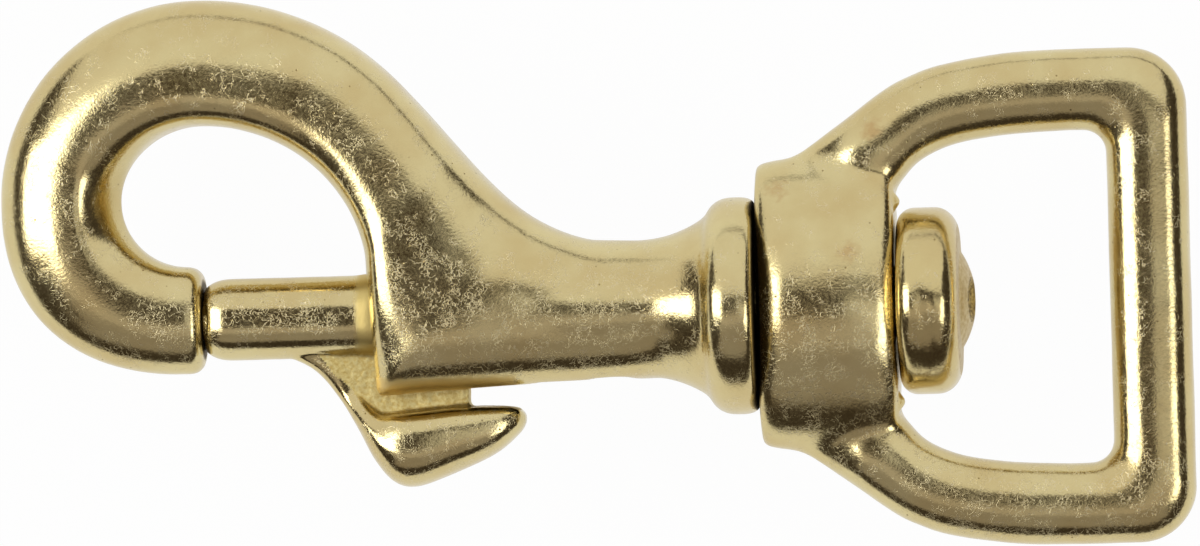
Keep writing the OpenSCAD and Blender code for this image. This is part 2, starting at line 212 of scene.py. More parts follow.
def weighPlaces(piece, name, weight, least=0.001):    # vertex group from a function of place in mm and normal
    group = piece.vertex_groups.new(name=name)
    for vert in piece.data.vertices:
        share = weight(vert.co / mm, vert.normal)
        if share > least:
            group.add([vert.index], min(share, 1.0), "REPLACE")
    return group.name


def nearPoint(spot, reach):    # a weight of 1 at the spot, easing to 0 at its reach
    middle = Vector(spot)
    return lambda place, normal: ease(max(0.0, 1 - (place - middle).length / reach))


def roughen(piece, grain, height, group=""):    # uneven skin of a casting, in mm
    clouds = bpy.data.textures.new(f"{piece.name}Grain", "CLOUDS")
    clouds.noise_scale = grain * mm
    clouds.noise_depth = 2
    applyModifier(piece, "DISPLACE", texture=clouds, texture_coords="LOCAL", strength=height * mm,
                  mid_level=0.5, vertex_group=group)


def pushSkin(piece, height, weight):    # moves the skin out, or in where height is below 0, by a weight
    group = weighPlaces(piece, "push", weight)
    applyModifier(piece, "DISPLACE", strength=height * mm, mid_level=0.0, vertex_group=group)
    piece.vertex_groups.remove(piece.vertex_groups[group])


def soften(piece, passes, weight):    # extra smoothing where two forms run into each other
    group = weighPlaces(piece, "soft", weight)
    applyModifier(piece, "SMOOTH", factor=0.5, iterations=passes, vertex_group=group)
    piece.vertex_groups.remove(piece.vertex_groups[group])


def seatPiece(piece, body, node, slotName, *materials):
    for material in materials:
        piece.data.materials.append(material)
    makeActive(piece)
    bpy.ops.object.shade_smooth()
    piece.vertex_groups.clear()
    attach(piece, body)
    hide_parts(node)
    print("made", piece.name, len(piece.data.polygons), "faces")


# materials

def toLinear(hexColour):
    parts = [int(hexColour[i:i + 2], 16) / 255 for i in (1, 3, 5)]
    return tuple(c / 12.92 if c <= 0.04045 else ((c + 0.055) / 1.055) ** 2.4 for c in parts) + (1.0,)


# inputs are constants or sockets; they and the output that comes back go by name or number
def addNode(tree, kind, inputs=None, out=0, **settings):
    node = tree.nodes.new(kind)
    for key, value in settings.items():
        setattr(node, key, value)
    for key, value in (inputs or {}).items():
        if isinstance(value, bpy.types.NodeSocket):
            tree.links.new(value, node.inputs[key])
        else:
            node.inputs[key].default_value = value
    return node.outputs[out]


def startMaterial(name):    # hands on the place of each point in mm
    material = bpy.data.materials.new(name)
    material.use_nodes = True
    tree = material.node_tree
    coords = addNode(tree, "ShaderNodeTexCoord", out="Object")
    place = addNode(tree, "ShaderNodeMapping", {"Vector": coords, "Scale": (1 / mm, 1 / mm, 1 / mm)})
    shader = tree.nodes["Principled BSDF"]
    shader.inputs["Metallic"].default_value = 1.0    # the part is metal all over
    return material, tree, shader, place


def linkLook(tree, shader, sockets):
    for name, socket in sockets.items():
        tree.links.new(socket, shader.inputs[name])


falling = {"To Min": 1.0, "To Max": 0.0}    # for a range that falls instead of rising


def between(edge):    # where a range starts and ends
    return {"From Min": edge[0], "From Max": edge[1]}


raggedGrain = 0.4    # mm, how coarse the edge of a matt or rubbed place is


def raggedFade(tree, place, away, border, start):    # 1 below start, fading to 0 over a ragged border
    ragged = addNode(tree, "ShaderNodeTexNoise", {"Vector": place, "Scale": 1 / raggedGrain, "Detail": 3.0})
    edge = addNode(tree, "ShaderNodeMath", {0: ragged, 1: border, 2: away}, operation="MULTIPLY_ADD")
    return addNode(tree, "ShaderNodeMapRange", {"Value": edge, **between((start, start + border)), **falling})


def softBox(tree, place, middle, half, border):    # 1 inside a box, border in mm
    off = addNode(tree, "ShaderNodeVectorMath", {0: place, 1: middle}, operation="SUBTRACT")
    away = addNode(tree, "ShaderNodeVectorMath", {0: off}, operation="ABSOLUTE")
    past = addNode(tree, "ShaderNodeVectorMath", {0: away, 1: half}, operation="SUBTRACT")
    side = addNode(tree, "ShaderNodeSeparateXYZ", {"Vector": past}).node.outputs
    most = addNode(tree, "ShaderNodeMath", {0: side["X"], 1: side["Y"]}, operation="MAXIMUM")
    most = addNode(tree, "ShaderNodeMath", {0: most, 1: side["Z"]}, operation="MAXIMUM")
    return raggedFade(tree, place, most, border, 0.4 * border)    # the noise adds about half a border


def softOval(tree, place, middle, half, border):    # 1 inside an oval, border as a share of its size
    off = addNode(tree, "ShaderNodeVectorMath", {0: place, 1: middle}, operation="SUBTRACT")
    shrunk = addNode(tree, "ShaderNodeVectorMath", {0: off, 1: half}, operation="DIVIDE")
    away = addNode(tree, "ShaderNodeVectorMath", {0: shrunk}, out="Value", operation="LENGTH")
    return raggedFade(tree, place, away, border, 1.0)


tumbledLook = {
    "pale": "#dccd99",    # fresh brass
    "deep": "#d2be88",    # slightly tarnished brass
    "blotch": 3.5,    # mm across a patch of tarnish
    "blotchEdge": (0.35, 0.68),    # where in its noise the tarnish starts and is full
    "roughness": 0.17,
    "grain": 0.16,    # mm across a grain of the uneven polish, drawn coarse so that it shows
    "grainEdge": (0.3, 0.7),
    "grainRoughness": (-0.04, 0.06),
    "relief": 0.008,    # mm from a grain's foot to its top
    "mark": 0.46,    # mm across the curl of a tumbling mark, drawn coarse so that it shows
    "markSets": [    # turn, shift in mm and size of two sets of marks, one finer
        ((0, 0, 0), (0, 0, 0), 1.0),
        ((1.9, 1.14, 0.57), (13.3, 5.7, 0), 0.62)],
    "markCurl": 0.7,
    "markLine": (0.004, 0.02),    # half width of a mark in its noise, where it starts to fade and is gone
    "markTone": "#ecdfba",    # rubbed metal, paler than the rest
    "markShare": 0.6,    # how much of that tone a mark takes
    "markRoughness": 0.36,
    "markDepth": 0.5,    # in grains
    "clump": 1.2,    # mm across a clump of marks
    "clumpEdge": (0.53, 0.67),
    "rubs": [],    # places that are rubbed more
    "rubLift": 0.09,    # how far such a place widens the clumps
    "pit": 0.55,    # mm from pit to pit
    "pitEdge": (0.06, 0.13),    # how far from its middle a pit starts to fade and is gone, by that distance
    "pitPick": (0.72, 0.78),    # leaves most pits out
    "pitTone": "#8a7440",
    "pitDepth": 1.5,    # in grains
    "stains": [],    # place in mm and reach of each brown stain
    "stainTone": "#b07c40",
    "stainShare": 0.4,
    "stainGrain": 0.5,    # mm, how coarse a stain's edge is
    "stainEdge": (1.2, 2.1),    # by its reach
    "patches": [],    # matt places, and painted shade in narrow gaps
}


def tumbledBrass(name, look):    # cast brass, tumbled bright: a soft mirror with curly rub marks and small pits
    material, tree, shader, place = startMaterial(name)
    tarnish = addNode(tree, "ShaderNodeTexNoise", {"Vector": place, "Scale": 1 / look["blotch"], "Detail": 3.0})
    tone = addNode(tree, "ShaderNodeMapRange", {"Value": tarnish, **between(look["blotchEdge"])})
    colour = addNode(tree, "ShaderNodeMix", {"Factor": tone, 6: toLinear(look["pale"]),
                                             7: toLinear(look["deep"])}, out=2, data_type="RGBA")
    worn = None
    for rub in look["rubs"]:
        share = softBox(tree, place, **rub)
        worn = share if worn is None else addNode(tree, "ShaderNodeMath", {0: worn, 1: share},
                                                  operation="MAXIMUM")
    marks = None
    for turn, shift, size in look["markSets"]:
        turned = addNode(tree, "ShaderNodeMapping", {"Vector": place, "Rotation": turn, "Location": shift})
        curl = addNode(tree, "ShaderNodeTexNoise", {"Vector": turned, "Scale": 1 / (look["mark"] * size),
                                                    "Detail": 2.0, "Distortion": look["markCurl"]})
        offMiddle = addNode(tree, "ShaderNodeMath", {0: curl, 1: 0.5}, operation="SUBTRACT")
        away = addNode(tree, "ShaderNodeMath", {0: offMiddle}, operation="ABSOLUTE")
        line = addNode(tree, "ShaderNodeMapRange", {"Value": away, **between(look["markLine"]), **falling})
        clump = addNode(tree, "ShaderNodeTexNoise", {"Vector": turned, "Scale": 1 / look["clump"],
                                                     "Detail": 2.0})
        if worn is not None:
            clump = addNode(tree, "ShaderNodeMath", {0: worn, 1: look["rubLift"], 2: clump},
                            operation="MULTIPLY_ADD")
        shown = addNode(tree, "ShaderNodeMapRange", {"Value": clump, **between(look["clumpEdge"])})
        cut = addNode(tree, "ShaderNodeMath", {0: line, 1: shown}, operation="MULTIPLY")
        marks = cut if marks is None else addNode(tree, "ShaderNodeMath", {0: marks, 1: cut},
                                                  operation="MAXIMUM")
    rubbed = addNode(tree, "ShaderNodeMath", {0: marks, 1: look["markShare"]}, operation="MULTIPLY")
    colour = addNode(tree, "ShaderNodeMix", {"Factor": rubbed, 6: colour, 7: toLinear(look["markTone"])},
                     out=2, data_type="RGBA")
    pits = addNode(tree, "ShaderNodeTexVoronoi", {"Vector": place, "Scale": 1 / look["pit"]}).node.outputs
    pitSpot = addNode(tree, "ShaderNodeMapRange", {"Value": pits["Distance"], **between(look["pitEdge"]),
                                                   **falling})
    pitPick = addNode(tree, "ShaderNodeMapRange", {"Value": pits["Color"], **between(look["pitPick"])})
    pit = addNode(tree, "ShaderNodeMath", {0: pitSpot, 1: pitPick}, operation="MULTIPLY")
    colour = addNode(tree, "ShaderNodeMix", {"Factor": pit, 6: colour, 7: toLinear(look["pitTone"])},
                     out=2, data_type="RGBA")
    for spot, reach in look["stains"]:
        gap = addNode(tree, "ShaderNodeVectorMath", {0: place, 1: spot}, out="Value", operation="DISTANCE")
        ragged = addNode(tree, "ShaderNodeTexNoise", {"Vector": place, "Scale": 1 / look["stainGrain"],
                                                      "Detail": 4.0})
        edge = addNode(tree, "ShaderNodeMath", {0: ragged, 1: 2 * reach, 2: gap}, operation="MULTIPLY_ADD")
        fade = between([reach * share for share in look["stainEdge"]])
        soft = addNode(tree, "ShaderNodeMapRange", {"Value": edge, **fade, "To Min": look["stainShare"],
                                                    "To Max": 0.0})
        colour = addNode(tree, "ShaderNodeMix", {"Factor": soft, 6: colour, 7: toLinear(look["stainTone"])},
                         out=2, data_type="RGBA")
    grain = addNode(tree, "ShaderNodeTexNoise", {"Vector": place, "Scale": 1 / look["grain"], "Detail": 2.0})
    least, most = (look["roughness"] + change for change in look["grainRoughness"])
    rough = addNode(tree, "ShaderNodeMapRange", {"Value": grain, **between(look["grainEdge"]),
                                                 "To Min": least, "To Max": most})
    rough = addNode(tree, "ShaderNodeMix", {"Factor": marks, "A": rough, "B": look["markRoughness"]})
    for patch in look["patches"]:
        share = patch["form"](tree, place, patch["middle"], patch["half"], patch["border"])
        colour = addNode(tree, "ShaderNodeMix", {"Factor": share, 6: colour, 7: toLinear(patch["tone"])},
                         out=2, data_type="RGBA")
        rough = addNode(tree, "ShaderNodeMix", {"Factor": share, "A": rough, "B": patch["roughness"]})
    height = addNode(tree, "ShaderNodeMath", {0: marks, 1: -look["markDepth"], 2: grain},
                     operation="MULTIPLY_ADD")
    height = addNode(tree, "ShaderNodeMath", {0: pit, 1: -look["pitDepth"], 2: height},
                     operation="MULTIPLY_ADD")
    bump = addNode(tree, "ShaderNodeBump", {"Height": height, "Strength": 1.0, "Distance": look["relief"] * mm})
    linkLook(tree, shader, {"Base Color": colour, "Roughness": rough, "Normal": bump})
    return material


castLook = {
    "pale": "#efdf9f",    # tops of the sand grains
    "deep": "#d6bd74",    # and the hollows between them
    "toneEdge": (0.35, 0.62),
    "grain": 0.22,    # mm across a grain of sand
    "crumble": 0.6,    # how strong the finer grain on it is
    "roughness": 0.48,
    "uneven": 0.12,    # how far the roughness goes up and down
    "relief": 0.03,    # mm from a hollow to a top
    "reliefShare": 0.7,
}


def castBrass(name, look):    # brass as it left the mould: matt, sandy and a deeper yellow
    material, tree, shader, place = startMaterial(name)
    sand = addNode(tree, "ShaderNodeTexNoise", {"Vector": place, "Scale": 1 / look["grain"], "Detail": 3.0,
                                                "Roughness": look["crumble"]})
    tone = addNode(tree, "ShaderNodeMapRange", {"Value": sand, **between(look["toneEdge"])})
    colour = addNode(tree, "ShaderNodeMix", {"Factor": tone, 6: toLinear(look["deep"]),
                                             7: toLinear(look["pale"])}, out=2, data_type="RGBA")
    rough = addNode(tree, "ShaderNodeMapRange", {"Value": sand, "To Min": look["roughness"] + look["uneven"],
                                                 "To Max": look["roughness"] - look["uneven"]})
    bump = addNode(tree, "ShaderNodeBump", {"Height": sand, "Strength": look["reliefShare"],
                                            "Distance": look["relief"] * mm})
    linkLook(tree, shader, {"Base Color": colour, "Roughness": rough, "Normal": bump})
    return material


wireLook = {
    "pale": "#b4b7ba", "deep": "#8f9296",
    "fleck": 0.15,    # mm across a fleck of the drawn skin
    "roughness": (0.25, 0.4),
}


def drawnWire(name, look):    # drawn spring steel: grey and half bright, with fine flecks
    material, tree, shader, place = startMaterial(name)
    flecks = addNode(tree, "ShaderNodeTexNoise", {"Vector": place, "Scale": 1 / look["fleck"], "Detail": 2.0})
    colour = addNode(tree, "ShaderNodeMix", {"Factor": flecks, 6: toLinear(look["pale"]),
                                             7: toLinear(look["deep"])}, out=2, data_type="RGBA")
    rough = addNode(tree, "ShaderNodeMapRange", {"Value": flecks, "To Min": look["roughness"][0],
                                                 "To Max": look["roughness"][1]})
    linkLook(tree, shader, {"Base Color": colour, "Roughness": rough})
    return material


seatX = -21.9    # mm, the collar's rear face, which the eye turns against
mouthX = seatX - 23.7   # where the bolt comes out of the barrel
noseX = seatX - 34.6    # where the bolt meets the hook's nose

# as cast: under the barrel beside the slot, and where the bolt comes out
slotLip = {"form": softBox, "middle": (mouthX + 4.2, -6.0, 0), "half": (4.4, 1.95, 6), "border": 0.35,
           "tone": "#e3c986", "roughness": 0.42}
rodEnd = {"form": softBox, "middle": (mouthX + 2.2, 0, 0), "half": (3.2, 3.4, 3.4), "border": 0.5,
          "tone": "#dcc680", "roughness": 0.42}
# painted shade: darker brass where the narrow gaps between the collar and the eye's boss, and between the nose
# and the bolt, lie in shadow
seatGapShade = {"form": softOval, "middle": (seatX + 0.05, 0, 0), "half": (0.5, 7.2, 5.9), "border": 0.12,
             "tone": "#352a17", "roughness": 0.55}
# painted shade in the gap where the nose meets the bolt
noseGapShade = {"form": softOval, "middle": (noseX + 0.02, 0, 0), "half": (0.1, 2.6, 2.4), "border": 0.2,
             "tone": "#52431f", "roughness": 0.5}
# rubbed more than the rest
barrelRub = {"middle": (seatX - 14.1, -0.6, 0), "half": (8.6, 3.2, 8), "border": 2.0}
noseRub = {"middle": (noseX - 2.5, -0.5, 0), "half": (2.6, 1.8, 8), "border": 1.0}
rodRub = {"middle": (noseX + 4.5, 0.4, 0), "half": (4.0, 1.2, 8), "border": 0.8}
lugRub = {"middle": (mouthX + 3, -8.2, 0), "half": (4.0, 1.8, 8), "border": 1.0}
bossRub = {"middle": (seatX + 4.4, -3.6, 0), "half": (4.2, 4.2, 8), "border": 1.5}
barRub = {"middle": (-4.5, -12.6, 0), "half": (8.0, 2.0, 8), "border": 1.5}
bossStains = [((-20.4, 7.4, 3.2), 0.9), ((-15.9, 3.2, 4.6), 0.7), ((-14.4, 10.6, 2.2), 0.8)]

# besides the matt places, the patches paint shade into the gaps at the collar and at the nose
hookBrass = tumbledBrass("tumbledBrassHook", {**tumbledLook, "rubs": [barrelRub, noseRub],
                                              "patches": [slotLip, seatGapShade, noseGapShade]})
boltBrass = tumbledBrass("tumbledBrassBolt", {**tumbledLook, "roughness": 0.15, "rubs": [rodRub, lugRub],
                                              "patches": [rodEnd, noseGapShade]})
eyeBrass = tumbledBrass("tumbledBrassEye", {**tumbledLook, "rubs": [bossRub, barRub], "patches": [seatGapShade],
                                            "stains": bossStains})
rivetBrass = tumbledBrass("upsetBrassRivet", {**tumbledLook, "pale": "#d8c68f"})
webBrass = castBrass("asCastBrassWeb", castLook)
# dark brass in the punched dimple: dirt, and painted shade of the hollow
dimpleDirtAndShade = castBrass("punchedBrassDimple", {**castLook, "pale": "#c2a862", "deep": "#6e5a2e"})
domeBrass = castBrass("satinBrassDome", {**castLook, "pale": "#d6c496", "deep": "#c6af7c", "grain": 0.3,
                                         "roughness": 0.42})
wireSteel = drawnWire("drawnSteelWire", wireLook)
print("materials made")


# hook body: nose, bowl, crown and arm as one swept bar, with the barrel, neck and collar turned

hook = {    # mm, with turns in degrees
    "noseRound": 0.9, "noseR": 3.35, "noseThick": 5.6, "noseSteps": 8,
    "bowlDepth": 5.0, "bowlMiddle": 7.45, "bowlRoof": 12.15,
    "backWidth": 7.6, "backThick": 6.4, "crownWidth": 7.85, "crownThick": 7.6,
    "spineR": 17.2, "armEnd": 43, "armThick": 8.9,
    "armPull": 0.405, "neckPull": 0.41,    # how long the spine keeps the arm's and the neck's way
    "throatLow": 2.15, "throatEnd": 9, "throatIn": 0.34, "shoulderThick": 9.7, "mouthLean": 0.1,
    "throatShare": 0.3, "mouthShare": 0.65,    # shares of the shoulder at the throat's end and the mouth
    "flatFrom": 0.4, "flatRun": 0.25,    # and where its lower wall grows flat
    "barrelStart": 3, "barrelFrontR": 4.35, "barrelR": 4.55, "barrelLow": 5.1,
    "neckR": 4.25, "neckLow": 4.4, "neckRun": 4.2, "neckIn": 0.15,
    "flareR": 7.4, "flareTurn": 34, "flareIn": 2.0, "flareRise": 0.1,
    "collarFrontX": seatX - 3.25, "collarR": 6.75, "collarRound": 0.5, "collarRun": 0.9,
    "beadMiddle": 1.75, "beadRun": 1.65, "beadRise": 1.55, "beadStart": 175,
    "bore": 5.5, "hole": 4.24, "slotWidth": 3.1, "slotDepth": 10, "slotEndX": mouthX + 15.95, "slotRound": 0.49,
    "cutterPast": 6, "holePast": 1,    # how far the cutters stand out
    "square": 2.2, "bellySquare": 2.3, "noseSquare": 3.0, "backSquare": 1.4, "crownSquare": 4.0,
    "armSquare": 2.7, "mouthSquare": 5.0, "barrelSquare": 3.0, "neckSquare": 2.7,
    "noseCrest": 0.5, "backCrest": 0.34, "crest": 0.38, "armCrest": 0.47, "shoulderCrest": 0.5,
    "steps": 26, "voxel": 0.19, "passes": 5,
    "wave": (4.5, 0.06),    # across and high, the slow waves of a hand-finished casting
}


def throatPoint(degrees):
    return onOval((noseX, hook["throatLow"]), mouthX - noseX - hook["throatIn"],
                  hook["bowlRoof"] - hook["throatLow"], degrees)


def spinePoint(degrees):
    crownY = hook["bowlRoof"] + hook["crownWidth"]
    return onOval((noseX, crownY - hook["spineR"]), hook["spineR"], hook["spineR"], degrees)


def barRungs():    # from the nose round the bowl and down the arm
    steps, square = hook["steps"], hook["square"]
    noseRound, noseR, bowlMiddle = hook["noseRound"], hook["noseR"], hook["bowlMiddle"]
    lowCentre, bowlCentre = (noseX - noseRound, bowlMiddle), (noseX, bowlMiddle)
    backRx = hook["bowlDepth"] + hook["backWidth"]
    roof = hook["bowlRoof"] - bowlMiddle
    rungs = []
    for k in range(hook["noseSteps"] + 1):    # rounded end of the nose
        turn = math.radians(90 - 90 * k / hook["noseSteps"])
        inset = noseRound * (1 - math.cos(turn))
        x = noseX - noseRound * (1 - math.sin(turn))
        rungs.append(((x, noseR - inset), (x, inset - noseR), hook["noseThick"] - 2 * inset,
                      hook["noseSquare"], square, hook["noseCrest"]))
    for k in range(1, steps + 1):    # under the bowl
        t = k / steps
        a = mix(-90, -180, t)
        rungs.append((onOval(lowCentre, hook["bowlDepth"] - noseRound, bowlMiddle - noseR, a),
                      onOval(lowCentre, backRx - noseRound, bowlMiddle + noseR, a, hook["bellySquare"]),
                      mix(hook["noseThick"], hook["backThick"], t),
                      mix(hook["noseSquare"], hook["backSquare"], ease(t)), square,
                      mix(hook["noseCrest"], hook["backCrest"], ease(t))))
    for k in range(1, steps + 1):    # up the back to the crown
        t = k / steps
        a = mix(180, 90, t)
        rungs.append((onOval(bowlCentre, hook["bowlDepth"], roof, a),
                      onOval(bowlCentre, backRx, roof + hook["crownWidth"], a),
                      mix(hook["backThick"], hook["crownThick"], t),
                      mix(hook["backSquare"], hook["crownSquare"], ease(t)), square,
                      mix(hook["backCrest"], hook["crest"], t)))
    for k in range(1, steps + 1):    # over the bowl and down the arm
        t = k / steps
        a = mix(90, hook["armEnd"], t)
        rungs.append((throatPoint(a), spinePoint(a), mix(hook["crownThick"], hook["armThick"], t),
                      hook["crownSquare"], mix(square, hook["armSquare"], ease(t)),
                      mix(hook["crest"], hook["armCrest"], ease(t))))
    return rungs


def shoulderRungs():    # the arm fans out round the barrel and runs out inside the flare
    armEnd, throatEnd = hook["armEnd"], hook["throatEnd"]
    throatShare, mouthShare = hook["throatShare"], hook["mouthShare"]
    neckX = hook["collarFrontX"] - hook["neckRun"]
    neckTop = hook["neckR"] - hook["neckIn"]
    start, foot = Vector(spinePoint(armEnd)), Vector((neckX, neckTop))
    length = (foot - start).length
    way = Vector((math.sin(math.radians(armEnd)), -math.cos(math.radians(armEnd))))
    pulls = (start, start + way * length * hook["armPull"],
             foot - Vector((length * hook["neckPull"], 0)), foot)
    throatFoot = Vector(throatPoint(throatEnd))
    mouthFoot = Vector((mouthX - hook["mouthLean"], -hook["barrelLow"]))
    neckFoot = Vector((neckX, -hook["neckLow"]))
    count = 2 * hook["steps"]
    rungs = []
    for k in range(1, count + 1):
        t = k / count
        bend = ((1 - t) ** 3, 3 * t * (1 - t) ** 2, 3 * t * t * (1 - t), t ** 3)
        spine = sum((pull * share for pull, share in zip(pulls, bend)), Vector((0, 0)))
        if t < throatShare:
            inside = Vector(throatPoint(mix(armEnd, throatEnd, t / throatShare)))
        elif t < mouthShare:
            inside = throatFoot.lerp(mouthFoot, (t - throatShare) / (mouthShare - throatShare))
        else:
            inside = mouthFoot.lerp(neckFoot, (t - mouthShare) / (1 - mouthShare))
        swell = clamp(t / throatShare)
        thin = ease(clamp((t - mouthShare) / (1 - mouthShare)))
        flat = ease(clamp((t - hook["flatFrom"]) / hook["flatRun"]))
        lowSquare = mix(mix(hook["crownSquare"], hook["mouthSquare"], swell), hook["barrelSquare"], flat)
        rungs.append((tuple(inside), tuple(spine),
                      mix(mix(hook["armThick"], hook["shoulderThick"], swell), 2 * neckTop, thin),
                      mix(lowSquare, hook["neckSquare"], thin), mix(hook["armSquare"], 2, thin),
                      mix(hook["armCrest"], hook["shoulderCrest"], swell)))
    endX = neckX + hook["flareIn"]
    rungs.append(((endX, hook["flareRise"] - hook["neckLow"]), (endX, neckTop), 2 * neckTop, hook["square"], 2,
                  hook["shoulderCrest"]))
    return rungs


def makeSlotCutter():    # open at the mouth, round at its far end
    endX, width = hook["slotEndX"], hook["slotWidth"]
    length = endX - mouthX + hook["cutterPast"]
    deselectAll()
    bpy.ops.mesh.primitive_cube_add(size=1, location=((endX - length / 2) * mm, -hook["slotDepth"] / 2 * mm, 0))
    slot = bpy.context.object
    slot.scale = (length * mm, hook["slotDepth"] * mm, width * mm)
    bpy.ops.object.transform_apply(location=True, rotation=True, scale=True)
    bpy.ops.object.mode_set(mode="EDIT")
    bpy.ops.mesh.select_mode(type="EDGE")
    bpy.ops.mesh.select_all(action="DESELECT")
    work = bmesh.from_edit_mesh(slot.data)
    for edge in work.edges:    # the upright edges at the far end
        a, b = (vert.co for vert in edge.verts)
        edge.select = min(a.x, b.x) > (endX - 0.1) * mm and abs(a.z - b.z) < 0.1 * mm
    bmesh.update_edit_mesh(slot.data)
    bpy.ops.mesh.bevel(offset=width * hook["slotRound"] * mm, segments=10, affect="EDGES")
    finishShell()
    return slot


def makeHook():
    bar = loftRings("hookBar", [crossSection(rung) for rung in barRungs() + shoulderRungs()])
    frontX, collarX = mouthX + hook["barrelStart"], hook["collarFrontX"]
    flareR, collarR, collarRun = hook["flareR"], hook["collarR"], hook["collarRun"]
    flareX = collarX - flareR * math.sin(math.radians(hook["flareTurn"]))
    barrel = turnOnLathe("barrel", [
        (frontX, 0), (frontX, hook["barrelFrontR"]), (mix(frontX, flareX, 0.5), hook["barrelR"]),
        *ovalPoints((flareX, hook["neckR"] + flareR), flareR, flareR, -90, hook["flareTurn"] - 90, 12),
        *ovalPoints((collarX + hook["beadMiddle"], collarR - hook["beadRise"]), hook["beadRun"],
                    hook["beadRise"], hook["beadStart"], 90),
        *ovalPoints((seatX - collarRun, collarR - hook["collarRound"]), collarRun, hook["collarRound"], 90, 0),
        (seatX, 0)])
    bore = addRod(mouthX - hook["cutterPast"], collarX, hook["bore"])
    hole = addRod(collarX - hook["holePast"], seatX + hook["holePast"], hook["hole"])
    slot = makeSlotCutter()
    cutAway(bar, bore, slot)
    cutAway(barrel, bore, hole, slot)
    discard(bore, hole, slot)
    piece = castInOne("hookBody", [bar, barrel], hook["voxel"], hook["passes"])
    for passes, spot, reach in (
            (40, (mouthX + 9, 0, 0), 11),    # arm into barrel
            (8, (mouthX, 3, 0), 4),    # throat into the mouth's rim
            (40, (collarX - hook["neckRun"], -hook["neckR"], 0), 4)):    # barrel into neck
        soften(piece, passes, nearPoint(spot, reach))
    roughen(piece, *hook["wave"])
    return piece


hookBody = makeHook()
seatPiece(hookBody, "hook", "hook_body", "hook_brass", hookBrass)


# bolt: the turned rod, the thin cast web and the thumb lug

bolt = {    # mm
    "noseX": noseX + 0.05, "noseR": 2.55, "noseRun": 1.7, "noseDrop": 0.85,
    "guideR": 2.65, "guideStart": 1.3, "guideRun": 0.8, "rearX": mouthX + 5.6,
    "webThick": 1.9, "webTop": -1, "webIn": 1.2, "ribThick": 2.3,
    "lugThick": 6.0, "lugTop": -5.8, "lugLow": -10.7, "lugFrontX": mouthX + 0.6, "lugPast": 3.5,
    "lugSquare": (2.4, 4.0, 0.5),    # lower wall, upper wall and crest
    "sandTop": -2.3, "sandLow": -6.1, "sandHalf": 1.25, "sandFade": 0.6,    # where the web stays as cast
    "sandFront": 3.2, "sandSlope": 0.9, "sandWaver": 0.08,
    "wornDepth": 0.2, "wornHalf": 1.7, "wornLow": -2, "wornEnd": 1.5,
    "voxel": 0.13, "passes": 6,
    "sand": (0.7, 0.07), "wave": (3.0, 0.04),    # across and high
    "travel": 9.8,
}


def lugRungs():
    front, rear = bolt["lugFrontX"], bolt["rearX"] + bolt["lugPast"]
    top, low, rib = bolt["lugTop"], bolt["lugLow"], bolt["ribThick"]
    middle = (front + rear) / 2

    def down(share):
        return mix(top, low, share)

    def swell(share):
        return mix(rib, bolt["lugThick"], share)

    rows = [    # lower point, upper point and thickness, down the rib and back along the lug
        ((mouthX - 7.2, -1.9), (mouthX - 3.6, -1), rib),
        ((mouthX - 4.3, -3.1), (mouthX - 2.2, -3), rib),
        ((mouthX - 2.6, -5.0), (mouthX - 1.0, -5.0), rib),
        ((front - 2, down(0.25)), (front - 0.5, top - 0.3), swell(0.5)),
        ((front - 1, down(0.65)), (front + 0.6, top - 0.3), swell(0.85)),
        ((front + 0.2, low + 0.3), (front + 1.6, top - 0.2), swell(1)),
        ((front + 1.7, low), (front + 2.8, top - 0.1), swell(1)),
        ((middle, down(0.82)), (middle, top), swell(0.9)),
        ((rear - 1.9, down(0.6)), (rear - 1.9, top), swell(0.65)),
        ((rear - 0.45, down(0.36)), (rear - 0.5, top - 0.15), swell(0.2)),
        ((rear, down(0.22)), (rear, top - 0.6), rib / 2)]
    return [(*row, *bolt["lugSquare"]) for row in rows]


def onWeb(place, normal):    # the faces between rod and lug, behind the slanting front rib
    x, y, z = place
    slant = bolt["sandFront"] + bolt["sandSlope"] * (y + bolt["sandFront"])
    behind = x - mouthX + slant + bolt["sandWaver"] * math.sin(5 * z + 3 * y)
    inside = bolt["sandLow"] < y < bolt["sandTop"] and abs(z) < bolt["sandHalf"]
    return ease(clamp(behind / bolt["sandFade"])) if inside else 0


def onWornTop(place, normal):    # the rod is rubbed a little flat on both sides
    along = ease(clamp(mouthX + bolt["wornEnd"] - place.x))
    across = ease(max(0, 1 - abs(place.y) / bolt["wornHalf"]))
    return along * across if abs(normal.z) > 0.5 and place.y > bolt["wornLow"] else 0


